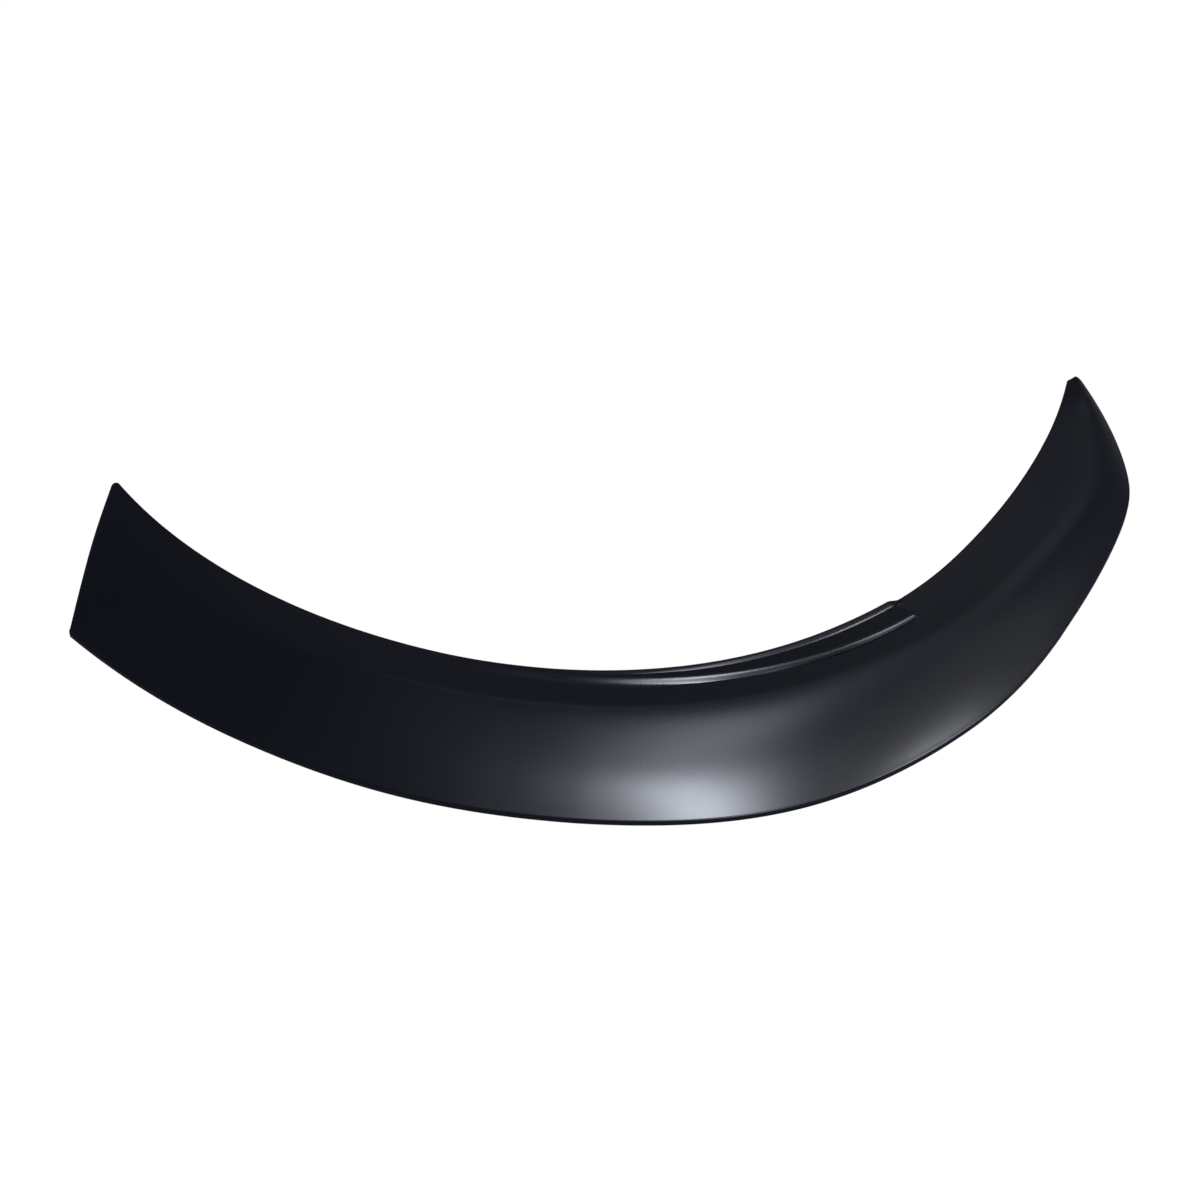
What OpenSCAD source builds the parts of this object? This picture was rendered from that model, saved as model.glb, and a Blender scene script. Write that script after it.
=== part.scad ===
// Wheel arch trim: one moulded piece of black plastic, drawn as it lies face up.
// The body side is down at Z = 0. X runs along the trim, from the square left cut to the right tip.
// The concave edge faces the wheel, and lengths along the trim are measured on it from the left cut.

/* [Wheel opening edge in plan] */
// Heading of the opening edge where it leaves the left cut, in degrees from X
open_heading = -53.27; // [-60:0.01:-46]
// Radius of the opening edge in its left stretch
open_left_r = 448.3; // [400:0.1:500]
// Angle that the left stretch turns through
open_left_turn = 49; // [44:0.1:54]
// Radius of the opening edge round the crown
open_crown_r = 295; // [265:1:335]
// Angle that the crown stretch turns through
open_crown_turn = 55.05; // [48:0.05:60]
// Radius of the opening edge along the tail
open_tail_r = 595; // [500:5:700]
// Angle that the tail stretch turns through
open_tail_turn = 14.93; // [12:0.01:18]
// Radius of the opening edge towards the tip
open_tip_r = 467; // [400:1:560]
// Angle that the stretch towards the tip turns through
open_tip_turn = 8.4; // [6:0.01:12]

/* [Width of the band] */
// How far the outer corner of the left cut leads its opening end along the trim
cut_lead = 73.1; // [40:0.1:90]
// Radius of the left cut's corner on the opening edge
cut_in_r = 2.7; // [1:0.1:4]
// Radius of the left cut's corner on the outer edge
cut_out_r = 1.6; // [1:0.1:4]
// Band width at the left cut, square to the opening edge
width_cut = 96.8; // [86:0.1:108]
// Band width a fifth of the way along
width_left = 98.3; // [90:0.1:108]
// Band width a third of the way along
width_rise = 102.2; // [92:0.1:112]
// Band width left of the crown
width_before_crown = 103.8; // [94:0.1:115]
// Band width at its widest, right of the crown
width_crown = 107.8; // [96:0.1:120]
// Band width half-way down the shoulder
width_shoulder = 99.1; // [88:0.1:109]
// Band width at the foot of the shoulder
width_tail = 84.8; // [76:0.1:94]
// Band width where the outer corner starts
width_corner = 77.1; // [69:0.1:85]
// Width at the tip before its ends are rounded
tip_w = 20.5; // [15:0.1:22]
// Growth of the width for each millimetre back from the tip
tip_taper = 0.62; // [0.5:0.01:0.75]
// Roundness of the outer corner, as a blend of the widths
corner_blend = 12.5; // [5:0.1:16]
// Radius of the tip's corner on the opening edge
tip_in_r = 14; // [4:0.1:15]
// Radius of the tip's corner on the outer edge
tip_out_r = 8; // [2:0.1:9]

/* [Section heights] */
// Height of the upright rim on the body side, below its rounded corner
rim_h = 3.2; // [2.5:0.1:5]
// Radius of the rounded corner on the rim
rim_r = 1.8; // [1:0.1:2.4]
// Height of the crease at the left cut
crease_cut_h = 25.3; // [22:0.1:32]
// Height of the crease over the crown
crease_h = 34; // [30:0.5:38]
// Height of the crease at the tip
crease_tip_h = 14; // [12:0.5:16]
// Height of the opening edge at the left cut
edge_cut_h = 25.3; // [21:0.1:28]
// Height of the opening edge over the crown
edge_h = 26.8; // [23:0.1:29]
// Height of the opening edge at the tip
edge_tip_h = 8.4; // [7:0.1:11]
// Share of the band's rise that is straight, where the rest is crowned
band_straight = 0.42; // [0.3:0.01:0.7]
// The same share at the left cut
band_straight_cut = 0.93; // [0.5:0.01:1]
// Distance of the crease from the opening edge over the crown
crease_offset = 37.5; // [32:0.5:44]
// Radius of the rolled opening edge
edge_r = 1.7; // [1:0.1:2.2]

/* [Raised step on the opening edge] */
// Length along the edge at which the step starts to rise
step_start = 290; // [260:5:330]
// Length along the edge at which the step is at its full height
step_full = 590; // [560:5:596]
// Length along the edge at which the step drops back to the band
step_end = 603; // [600:1:640]
// Lean of the step's end across the ledge
step_lean = 6; // [0:0.5:8]
// Width of the ledge at its start, from the opening edge
ledge_start_w = 12; // [11:0.5:14]
// Width of the ledge at its end
ledge_w = 22; // [19:0.5:25]
// Height of the ledge above the band
ledge_h = 3.4; // [2:0.1:4]
// Length along the edge at which the lip starts to rise
lip_start = 365; // [340:5:400]
// Width of the rounded lip on the opening edge at its start
lip_start_w = 4.2; // [3:0.1:6]
// Width of the lip at its end
lip_w = 5.2; // [4:0.1:7]
// Height of the lip above the ledge
lip_h = 2.15; // [1:0.05:3.5]

/* [Walls] */
// Wall of the moulding
wall = 2.6; // [2:0.1:3]
// Wall of the rim on the body side
rim_wall = 2.4; // [2:0.1:3]
// Draft of the wheel-side flange, in degrees
flange_draft = 3; // [1:0.5:5]
// Wall that closes the left cut
cut_wall = 3.6; // [2.6:0.1:6]
// Depth of solid plastic behind the tip
tip_wall = 5.2; // [3:0.1:8]

/* [Screw points on the wheel-side flange] */
// Number of screw holes
screw_count = 5; // [3:1:7]
// Diameter of each screw hole
screw_d = 5.5; // [4:0.1:6.5]
// Diameter of the round boss behind each hole
screw_boss_d = 14; // [12:0.5:16]
// Depth through flange and boss together
screw_boss_t = 5; // [4:0.5:7]
// Height of the holes above the body plane
screw_z = 9; // [8.5:0.5:11]
// Length along the edge of the first screw hole
screw_first = 75; // [60:5:110]
// Length along the edge of the last screw hole
screw_last = 770; // [720:5:790]

/* [Clip towers behind the band] */
// Number of clip towers
clip_count = 5; // [3:1:7]
// Width of each tower along the trim
clip_w = 22; // [18:1:28]
// Depth of each tower across the band
clip_d = 18; // [15:1:22]
// Thickness of the plate that the clip snaps into
clip_plate = 2.4; // [2:0.1:3.5]
// Wall of the towers
clip_wall = 2; // [1.6:0.1:2.6]
// Height of the clip seat above the body plane
clip_z = 4; // [2:0.5:6]
// Width of the slot that takes the clip's neck
clip_slot = 8; // [6:0.5:10]
// Distance of the tower's middle from the rim
clip_offset = 34; // [30:1:40]
// Length along the edge of the first tower
clip_first = 90; // [70:5:120]
// Length along the edge of the last tower
clip_last = 750; // [720:5:780]

/* [Stiffening ribs behind the band] */
// Number of ribs between two neighbouring towers
rib_count = 2; // [0:1:3]
// Wall of the ribs
rib_wall = 1.8; // [1.2:0.1:2.4]
// Depth of each rib below the skin
rib_depth = 9; // [5:0.5:14]

/* [Hidden] */

SKIN_COLOUR = [0.07, 0.075, 0.085];
HAIR = 0.01;

// Fractions of the opening edge at which the named widths hold
WIDTH_AT = [0.09, 0.22, 0.34, 0.44, 0.54, 0.655, 0.77, 0.88, 1];
// What the band would still lose from the outer corner to the tip, if the corner didn't close it
CORNER_FALL = 4.1;
WIDTHS = [
    width_cut, width_left, width_rise, width_before_crown,
    width_crown, width_shoulder, width_tail, width_corner, width_corner - CORNER_FALL
];

OPEN_ARCS = [
    [open_left_r, open_left_turn],
    [open_crown_r, open_crown_turn],
    [open_tail_r, open_tail_turn],
    [open_tip_r, open_tip_turn]
];
function arc_length(arc) = arc[0] * arc[1] * PI / 180;
function lengths_from(i) = i == len(OPEN_ARCS) ? 0 : arc_length(OPEN_ARCS[i]) + lengths_from(i + 1);
OPEN_L = lengths_from(0);

// Lengths over which the section lines swing from the left cut to square, and on to the tip
CUT_SWING = 350;
TIP_SWING = 150;
TIP_LEAD = 4;
// Share of the length over which the heights rise from the cut, and share where they start to fall
CUT_RISE = 0.3;
TIP_FALL = 0.62;
TIP_FALL_POWER = 1.5;
// Below these widths the small features of the section, and its walls, shrink with the width
SMALL_W = 40;
SOLID_W = 14;
// Headings of the left cut and of the tip's end, and the steps in which their corners are rounded
CUT_HEADING = -96.3;
CUT_STEPS = 3;
TIP_HEADING = 13;
TIP_STEPS = 5;
// Angle of the rounded corner on the rim
RIM_ARC = 60;
// Lean of the end walls' inner sides
END_DRAFT = 0.6;
// Width of the slope up to the ledge at its start and end, and the ledge's fall towards the lip
LEDGE_START_RUN = 10;
LEDGE_RUN = 2.4;
LEDGE_FALL = 0.8;
// Length along the edge at which the ledge starts to widen, and the roundness of the lip
LEDGE_GROW = 350;
LIP_ROUND = 3.2;
// Lengths over which the ledge rises at its start, drops at its end, and the lip drops
LEDGE_RISE = 150;
STEP_DROP = 4;
LIP_DROP = 13;
// Half-width of the crease's rounding over the crown, its gain at the cut and at the tip, and its sharpness
CREASE_BLEND = 3;
CREASE_CUT_FADE = 24;
CREASE_TIP_FADE = 9;
CREASE_SHARP = 0.3;
FADE_CUT = 0.3;
FADE_TIP = 0.65;
// The crease's share of the width: gained towards the cut, and reached along the tail
CREASE_CUT_GAIN = 0.06;
CREASE_CUT_SPAN = 0.45;
CREASE_TAIL_SHARE = 0.56;
CREASE_TAIL_FROM = 0.5;
CREASE_TAIL_TO = 0.857;
// Share of the fall from the crease to the opening edge that is straight, where above 1 makes it hollow
INNER_STRAIGHT = 1.2;
// Share of the length over which the band takes up its crown
STRAIGHT_TO = 0.45;

// Point and heading after a length along an arc, from a point with a heading
function along(p, h, r, s) =
    let (a = s / r * 180 / PI)
    [p[0] + r * (sin(h + a) - sin(h)), p[1] + r * (cos(h) - cos(h + a)), h + a];

// Point and heading on the opening edge at a length from the left cut
function open_at(s, i = 0, p = [0, 0, open_heading]) =
    let (arc = OPEN_ARCS[i], l = arc_length(arc))
    s <= l || i == len(OPEN_ARCS) - 1
        ? along(p, p[2], arc[0], s)
        : open_at(s - l, i + 1, along(p, p[2], arc[0], l));

function clamp01(x) = min(1, max(0, x));
function ease(x) = let (u = clamp01(x)) u * u * (3 - 2 * u);
function mix(a, b, u) = a + (b - a) * u;
// The lower of two values, with a rounded change from one to the other
function soft_min(a, b, e) = (a + b - sqrt((a - b) * (a - b) + e * e)) / 2;
function plan(p) = [p[0], p[1]];
function unit(v) = v / norm(v);

// Smooth curve through the named widths
function slope_at(k) =
    k == 0 || k == len(WIDTHS) - 1 ? 0 :
    let (
        a = (WIDTHS[k] - WIDTHS[k - 1]) / (WIDTH_AT[k] - WIDTH_AT[k - 1]),
        b = (WIDTHS[k + 1] - WIDTHS[k]) / (WIDTH_AT[k + 1] - WIDTH_AT[k])
    )
    a * b <= 0 ? 0 : 2 * a * b / (a + b);
function width_through(t, k = 0) =
    t <= WIDTH_AT[0] ? WIDTHS[0] :
    t >= WIDTH_AT[k + 1] && k < len(WIDTHS) - 2 ? width_through(t, k + 1) :
    let (
        h = WIDTH_AT[k + 1] - WIDTH_AT[k],
        u = clamp01((t - WIDTH_AT[k]) / h),
        v = u * u * (3 - 2 * u)
    )
    mix(WIDTHS[k], WIDTHS[k + 1], v)
        + h * (u * (1 - u) * (1 - u) * slope_at(k) - u * u * (1 - u) * slope_at(k + 1));
// Width square to the opening edge, closed down to the tip behind the outer corner
function width_at(s) = soft_min(
    width_through(s / OPEN_L),
    tip_w + (OPEN_L - s) * tip_taper,
    corner_blend
);
// Point on the outer edge that is square to the opening edge at a length
function outer_at(s) =
    let (p = open_at(s), w = width_at(s))
    [p[0] + w * sin(p[2]), p[1] - w * cos(p[2])];

function swing(s) =
    cut_lead * pow(clamp01(1 - s / CUT_SWING), 2)
        + TIP_LEAD * pow(clamp01((s - OPEN_L + TIP_SWING) / TIP_SWING), 2);

// Both ends of a section line: on the opening edge and on the outer edge
function section_ends(s) = [plan(open_at(s)), outer_at(s + swing(s))];
function outer_heading(s) =
    let (d = outer_at(s + HAIR) - outer_at(s - HAIR))
    atan2(d[1], d[0]);
CUT_IN = open_at(0);
CUT_OUT = outer_at(swing(0));
CUT_IN_BACK = open_heading + 180;
CUT_OUT_BACK = outer_heading(swing(0)) + 180;
// Plan point after an arc has turned through an angle, to the left if the angle is positive
function bend(p, h, r, turn) =
    let (side = turn < 0 ? -r : r)
    plan(along(p, h, side, side * turn * PI / 180));
// Section line in the rounded corners of the left cut, where u runs from 0 to 1
function cut_ends(u) = [
    bend(CUT_IN, CUT_IN_BACK, cut_in_r, u * (CUT_HEADING + 360 - CUT_IN_BACK)),
    bend(CUT_OUT, CUT_OUT_BACK, cut_out_r, u * (CUT_HEADING + 180 - CUT_OUT_BACK))
];
TIP_IN = open_at(OPEN_L);
TIP_OUT = outer_at(OPEN_L + TIP_LEAD);
TIP_OUT_HEADING = outer_heading(OPEN_L + TIP_LEAD);
// Section line in the rounded tip, where u runs from 0 to 1
function tip_ends(u) = [
    bend(TIP_IN, TIP_IN[2], tip_in_r, u * (TIP_HEADING - TIP_IN[2])),
    bend(TIP_OUT, TIP_OUT_HEADING, tip_out_r, u * (180 - TIP_HEADING - TIP_OUT_HEADING))
];

function rise_at(s, cut, full, tip) =
    let (t = s / OPEN_L)
    mix(cut, full, ease(t / CUT_RISE))
        + (tip - full) * pow(clamp01((t - TIP_FALL) / (1 - TIP_FALL)), TIP_FALL_POWER);
function crease_z(s) = rise_at(s, crease_cut_h, crease_h, crease_tip_h);
function edge_z(s) = rise_at(s, edge_cut_h, edge_h, edge_tip_h);

// The crease keeps its share of the width over the crown and fades out towards both ends
function crease_d(s, w) =
    let (
        t = s / OPEN_L,
        share = crease_offset / width_crown,
        left = clamp01(1 - t / CREASE_CUT_SPAN),
        right = ease((t - CREASE_TAIL_FROM) / (CREASE_TAIL_TO - CREASE_TAIL_FROM))
    )
    w * (share + CREASE_CUT_GAIN * left * left + (CREASE_TAIL_SHARE - share) * right);
function crease_soft(s) =
    let (t = s / OPEN_L)
    CREASE_BLEND + max(
        CREASE_CUT_FADE * ease(1 - t / FADE_CUT),
        CREASE_TIP_FADE * ease((t - FADE_TIP) / (1 - FADE_TIP))
    );

// The ledge and the lip: heights, and distances of their feet from the opening edge
function ledge_foot(s) = mix(ledge_start_w, ledge_w, ease((s - LEDGE_GROW) / (step_end - LEDGE_GROW)));
function ledge_run(s) =
    let (back = clamp01((step_end - s) / (step_end - step_start)))
    mix(LEDGE_RUN, LEDGE_START_RUN, back * back);
function lip_share(s) = sin(90 * clamp01((s - lip_start) / (step_full - lip_start)));
function lip_foot(s) = mix(lip_start_w, lip_w, lip_share(s));
function step_z(s, d, small) =
    let (
        foot = ledge_foot(s) * small,
        run = ledge_run(s) * small,
        lip_d = lip_foot(s) * small,
        up = ease((s - step_start) / LEDGE_RISE),
        ledge_drop = 1 - ease((s - step_end - step_lean * (d / foot - 0.5)) / STEP_DROP),
        lip_drop = 1 - ease((s - step_end + step_lean) / LIP_DROP),
        on_lip = 1 - pow(clamp01(d / lip_d), LIP_ROUND),
        flat = clamp01((foot - run - d) / max(foot - run - lip_d, LEDGE_RUN))
    )
    (ledge_h * up * ease((foot - d) / run) - LEDGE_FALL * up * flat) * mix(ledge_drop, lip_drop, on_lip)
        + lip_h * lip_share(s) * on_lip * lip_drop;

// Height of the outer skin at a distance from the opening edge, without the rounded edges
function skin_z(s, d, w) =
    let (
        small = min(1, w / SMALL_W),
        foot = w - rim_r * small * (1 - cos(RIM_ARC)),
        rim_z = rim_h + rim_r * small * sin(RIM_ARC),
        c = crease_d(s, w),
        zc = crease_z(s),
        ze = edge_z(s),
        q = (foot - d) / (foot - c),
        p = (c - d) / c,
        q_in = min(q, 1),
        p_in = max(p, 0),
        straight = mix(band_straight_cut, band_straight, ease(s / OPEN_L / STRAIGHT_TO)),
        band = rim_z + (zc - rim_z) * (straight * q + (1 - straight) * (1 - (1 - q_in) * (1 - q_in))),
        inner = zc - (zc - ze) * (INNER_STRAIGHT * p + (1 - INNER_STRAIGHT) * p_in * p_in)
    )
    soft_min(band, inner, crease_soft(s) * small * CREASE_SHARP) + step_z(s, d, small);
// Vertical thickness of the skin, from its wall and its slope across the band
function skin_drop(s, d, w) =
    let (m = (skin_z(s, d + 1, w) - skin_z(s, d - 1, w)) / 2)
    wall * sqrt(1 + m * m);

// One closed section: the outer skin from rim to flange, and back along the inner side
BAND_STEPS = 8;
UNDER_STEPS = 5;
EDGE_STEPS = 4;
RIM_STEPS = 3;
function outer_profile(s, w, in_skew, out_skew) =
    let (
        small = min(1, w / SMALL_W),
        rr = rim_r * small,
        er = edge_r * small,
        er_d = er * in_skew,
        c = crease_d(s, w),
        soft = crease_soft(s) * small,
        foot = ledge_foot(s) * small,
        lip_d = lip_foot(s) * small,
        ledge_in = max(foot - ledge_run(s) * small, lip_d),
        band_end = c + soft,
        band_start = w - rr * (1 - cos(RIM_ARC)),
        lean = atan2(skin_z(s, er_d + 0.1, w) - skin_z(s, er_d, w), 0.1),
        roll_start = er_d * (1 - sin(lean)),
        roll_z = skin_z(s, roll_start, w) - er * cos(lean)
    )
    concat(
        [[w, 0]],
        [for (k = [0 : RIM_STEPS]) let (a = RIM_ARC * k / RIM_STEPS)
            [w - rr * out_skew * (1 - cos(a)) * (k < RIM_STEPS ? 1 : 1 / out_skew), rim_h + rr * sin(a)]],
        [for (k = [1 : BAND_STEPS])
            let (d = mix(band_start, band_end, k / BAND_STEPS))
            [d, skin_z(s, d, w)]],
        [for (k = [0.5, 0, -0.5, -1]) let (d = c + soft * k) [d, skin_z(s, d, w)]],
        [for (k = [1 : 2]) let (d = mix(c - soft, foot, k / 3)) [d, skin_z(s, d, w)]],
        [for (k = [0 : 3]) let (d = mix(foot, ledge_in, k / 3)) [d, skin_z(s, d, w)]],
        [[(ledge_in + lip_d) / 2, skin_z(s, (ledge_in + lip_d) / 2, w)]],
        [for (k = [0 : 3]) let (d = mix(lip_d, roll_start, k / 4)) [d, skin_z(s, d, w)]],
        [for (k = [0 : EDGE_STEPS]) let (a = mix(lean, 90, k / EDGE_STEPS))
            [er_d * (1 - sin(a)), roll_z + er * cos(a)]],
        [[-roll_z * tan(flange_draft), 0]]
    );
function inner_profile(s, w, in_skew, out_skew) =
    let (
        narrow = min(1, w / SOLID_W),
        d_in = wall * in_skew * narrow,
        d_out = w - rim_wall * out_skew * narrow,
        c = crease_d(s, w),
        foot = ledge_foot(s) * min(1, w / SMALL_W),
        drop_in = edge_z(s) * tan(flange_draft),
        d_list = concat(
            [for (k = [1 : 3]) mix(d_in, foot, k / 3)],
            [mix(foot, c, 0.5)],
            [for (k = [0 : UNDER_STEPS - 1]) mix(c, d_out, k / UNDER_STEPS)]
        )
    )
    concat(
        [[d_in - drop_in, 0], [d_in, skin_z(s, d_in, w) - skin_drop(s, d_in, w)]],
        [for (d = d_list) [d, skin_z(s, d, w) - skin_drop(s, d, w)]],
        [[d_out, skin_z(s, d_out, w) - skin_drop(s, d_out, w)], [d_out, 0]]
    );
// In the end walls the inner side drops to the body plane
function floor_profile(profile) =
    let (n = len(profile) - 1)
    [for (k = [0 : n]) [mix(profile[0][0], profile[n][0], k / n), 0]];

function place(ends, w, profile) =
    let (across = (ends[1] - ends[0]) / w)
    [for (q = profile) [ends[0][0] + across[0] * q[0], ends[0][1] + across[1] * q[0], q[1]]];
function ring(ends, s, in_skew, out_skew, solid) =
    let (
        w = norm(ends[1] - ends[0]),
        inside = inner_profile(s, w, in_skew, out_skew)
    )
    place(ends, w, concat(outer_profile(s, w, in_skew, out_skew), solid ? floor_profile(inside) : inside));
// A length measured square to an edge grows by this factor on a slanted section line
function skew(across, heading) = 1 / abs(across[0] * sin(heading) - across[1] * cos(heading));
function main_ring(s, solid = false) =
    let (
        ends = section_ends(s),
        across = unit(ends[1] - ends[0])
    )
    ring(ends, s, skew(across, open_at(s)[2]), skew(across, outer_heading(s + swing(s))), solid);
function cut_ring(u) = ring(cut_ends(u), 0, 1, 1, true);
function tip_ring(u) = ring(tip_ends(u), OPEN_L, 1, 1, true);

// Section stations: even along the trim, close together where the step drops
STATION_PITCH = 15;
STEP_PITCH = 2;
DROP_FROM = step_end - step_lean - STEP_PITCH;
DROP_TO = step_end + LIP_DROP;
function spread(a, b, pitch) = let (n = ceil((b - a) / pitch)) [for (k = [0 : n - 1]) mix(a, b, k / n)];
LEFT_HOLLOW = cut_wall + END_DRAFT;
TIP_HOLLOW = OPEN_L - tip_wall;
STATIONS = concat(
    spread(LEFT_HOLLOW, DROP_FROM, STATION_PITCH),
    spread(DROP_FROM, DROP_TO, STEP_PITCH),
    spread(DROP_TO, TIP_HOLLOW, STATION_PITCH),
    [TIP_HOLLOW]
);
RINGS = concat(
    [for (k = [CUT_STEPS : -1 : 1]) cut_ring(k / CUT_STEPS)],
    [main_ring(0, true), main_ring(cut_wall, true)],
    [for (s = STATIONS) main_ring(s)],
    [main_ring(TIP_HOLLOW + END_DRAFT, true), main_ring(OPEN_L, true)],
    [for (k = [1 : TIP_STEPS]) tip_ring(k / TIP_STEPS)]
);

// The frame's origin: the middle of the outline, on the body plane
OUTLINE_X = [for (r = RINGS) for (p = r) p[0]];
OUTLINE_Y = [for (r = RINGS) for (p = r) p[1]];
CENTRE = [(min(OUTLINE_X) + max(OUTLINE_X)) / 2, (min(OUTLINE_Y) + max(OUTLINE_Y)) / 2, 0];

// Solid through a row of closed sections
module loft(rings) {
    n = len(rings[0]);
    m = len(rings);
    sides = [
        for (i = [0 : m - 2]) for (j = [0 : n - 1])
            let (a = i * n + j, b = i * n + (j + 1) % n)
            for (f = [[a, b, b + n], [a, b + n, a + n]]) f
    ];
    near = [for (j = [n - 1 : -1 : 0]) j];
    far = [for (j = [0 : n - 1]) (m - 1) * n + j];
    polyhedron(points = [for (r = rings) for (p = r) p], faces = concat([near], sides, [far]));
}

// Plan point at a length along the opening edge and a distance square to it
function square_at(s, n) = let (p = open_at(s)) [p[0] + n * sin(p[2]), p[1] - n * cos(p[2])];
function cross2(a, b) = a[0] * b[1] - a[1] * b[0];
// Section line and distance on it of a plan point, found in a few steps from a first guess
function locate(xy, s, d, steps = 5) =
    steps == 0 ? [s, d] :
    let (
        ends = section_ends(s),
        across = unit(ends[1] - ends[0]),
        h = open_at(s)[2],
        ahead = [cos(h), sin(h)],
        off = xy - ends[0] - across * d,
        turn = cross2(ahead, across)
    )
    locate(
        xy,
        s + cross2(off, across) / turn / (1 + d / open_left_r),
        d + cross2(ahead, off) / turn,
        steps - 1
    );
// Height half-way through the skin over a plan point, and height of the skin's inner side there
function bury_z(xy, s, n, part = 0.5) =
    let (at = locate(xy, s, n), ends = section_ends(at[0]), w = norm(ends[1] - ends[0]))
    skin_z(at[0], at[1], w) - part * skin_drop(at[0], at[1], w);

// Upright wall between two plan points, grown into the skin above it, with a list of foot heights
module web(a, b, s, n_a, n_b, thick, foot_z, crowded = 1) {
    side = unit([b[1] - a[1], a[0] - b[0]]) * thick / 2;
    parts = len(foot_z) - 1;
    loft([
        for (k = [0 : parts])
            let (
                u = pow(k / parts, crowded),
                n = mix(n_a, n_b, u),
                right = mix(a, b, u) + side,
                left = mix(a, b, u) - side,
                z = foot_z[k]
            )
            [
                [right[0], right[1], z],
                [right[0], right[1], bury_z(right, s, n)],
                [left[0], left[1], bury_z(left, s, n)],
                [left[0], left[1], z]
            ]
    ]);
}

module shell() {
    loft(RINGS);
}

// Round boss behind a screw hole, square to the wheel-side flange
HOLE_CUT = 24;
module screw_boss(s) {
    face = (edge_z(s) - screw_z) * tan(flange_draft);
    on_flange(s)
        translate([0, 0, wall / 2 - face])
            cylinder(d = screw_boss_d, h = screw_boss_t - wall / 2, $fn = 48);
}
module screw_hole(s) {
    on_flange(s)
        cylinder(d = screw_d, h = HOLE_CUT, $fn = 48, center = true);
}
// Places things on the flange at hole height, with Z pointing in from the wheel side
module on_flange(s) {
    p = open_at(s);
    translate([p[0], p[1], screw_z])
        rotate([90, 0, p[2]])
            children();
}

// Box under the band, open to the rim, whose plate holds a snap-in clip in a slot
TOWER_PARTS = 3;
module clip_tower(s) {
    n = width_at(s) - clip_offset;
    p = square_at(s, n);
    h = open_at(s)[2];
    ahead = [cos(h), sin(h)];
    out = [sin(h), -cos(h)];
    half_w = (clip_w - clip_wall) / 2;
    half_d = (clip_d - clip_wall) / 2;
    back_in = n - half_d;
    foot = [for (k = [0 : TOWER_PARTS]) clip_z];
    for (side = [-1, 1])
        web(p + ahead * side * half_w - out * clip_d / 2, p + ahead * side * half_w + out * clip_d / 2,
            s, n - clip_d / 2, n + clip_d / 2, clip_wall, foot);
    web(p - ahead * clip_w / 2 - out * half_d, p + ahead * clip_w / 2 - out * half_d,
        s, back_in, back_in, clip_wall, foot);
    translate([p[0], p[1], clip_z])
        rotate(h)
            difference() {
                translate([-clip_w / 2, -clip_d / 2, 0])
                    cube([clip_w, clip_d, clip_plate]);
                translate([-clip_slot / 2, -clip_d, -HAIR])
                    cube([clip_slot, clip_d, clip_plate + 2 * HAIR]);
                translate([0, 0, -HAIR])
                    cylinder(d = clip_slot, h = clip_plate + 2 * HAIR, $fn = 48);
            }
}

// Thin rib across the back of the band, from the flange to the rim, with its parts crowded at the ledge
RIB_PARTS = 14;
RIB_CROWDED = 1.4;
RIB_FOOT = 1.2;
module rib(s) {
    n_a = wall / 2;
    n_b = width_at(s) - rim_wall / 2;
    a = square_at(s, n_a);
    b = square_at(s, n_b);
    foot = [
        for (k = [0 : RIB_PARTS])
            let (u = pow(k / RIB_PARTS, RIB_CROWDED), xy = mix(a, b, u), n = mix(n_a, n_b, u))
            max(RIB_FOOT, bury_z(xy, s, n, 1) - rib_depth)
    ];
    web(a, b, s, n_a, n_b, rib_wall, foot, RIB_CROWDED);
}

function shared_out(first, last, count, k) = count == 1 ? first : mix(first, last, k / (count - 1));
SCREWS = [for (k = [0 : screw_count - 1]) shared_out(screw_first, screw_last, screw_count, k)];
CLIPS = [for (k = [0 : clip_count - 1]) shared_out(clip_first, clip_last, clip_count, k)];
CLIP_PITCH = (clip_last - clip_first) / (clip_count - 1);
RIBS = [
    for (k = [0 : clip_count - 2]) for (j = [1 : 1 : rib_count])
        CLIPS[k] + CLIP_PITCH * j / (rib_count + 1)
];

module arch_trim() {
    color(SKIN_COLOUR)
        translate(-CENTRE)
            difference() {
                union() {
                    shell();
                    for (s = SCREWS) screw_boss(s);
                    for (s = CLIPS) clip_tower(s);
                    for (s = RIBS) rib(s);
                }
                for (s = SCREWS) screw_hole(s);
            }
}

arch_trim();
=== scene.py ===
"""Wheel arch trim: one moulded piece of black plastic that lies face up on a white floor."""
import bisect
import math

import bmesh
import bpy
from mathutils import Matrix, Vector


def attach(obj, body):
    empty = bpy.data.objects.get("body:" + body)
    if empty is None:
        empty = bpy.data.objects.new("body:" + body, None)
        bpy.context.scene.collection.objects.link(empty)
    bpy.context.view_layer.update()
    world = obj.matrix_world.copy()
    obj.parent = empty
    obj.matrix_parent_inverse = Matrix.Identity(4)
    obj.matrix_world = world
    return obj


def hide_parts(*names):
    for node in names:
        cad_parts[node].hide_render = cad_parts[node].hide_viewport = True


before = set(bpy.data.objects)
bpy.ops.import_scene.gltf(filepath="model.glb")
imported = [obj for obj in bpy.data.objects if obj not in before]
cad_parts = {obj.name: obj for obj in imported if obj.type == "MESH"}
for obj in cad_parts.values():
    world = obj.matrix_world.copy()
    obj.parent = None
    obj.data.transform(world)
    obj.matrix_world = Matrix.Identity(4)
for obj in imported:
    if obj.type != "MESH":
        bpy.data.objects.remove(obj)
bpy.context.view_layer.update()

MM = 0.001


# Sizes of the trim, in millimetres, as in its CAD source but for the tip and for the ledge's slope and end

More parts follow.
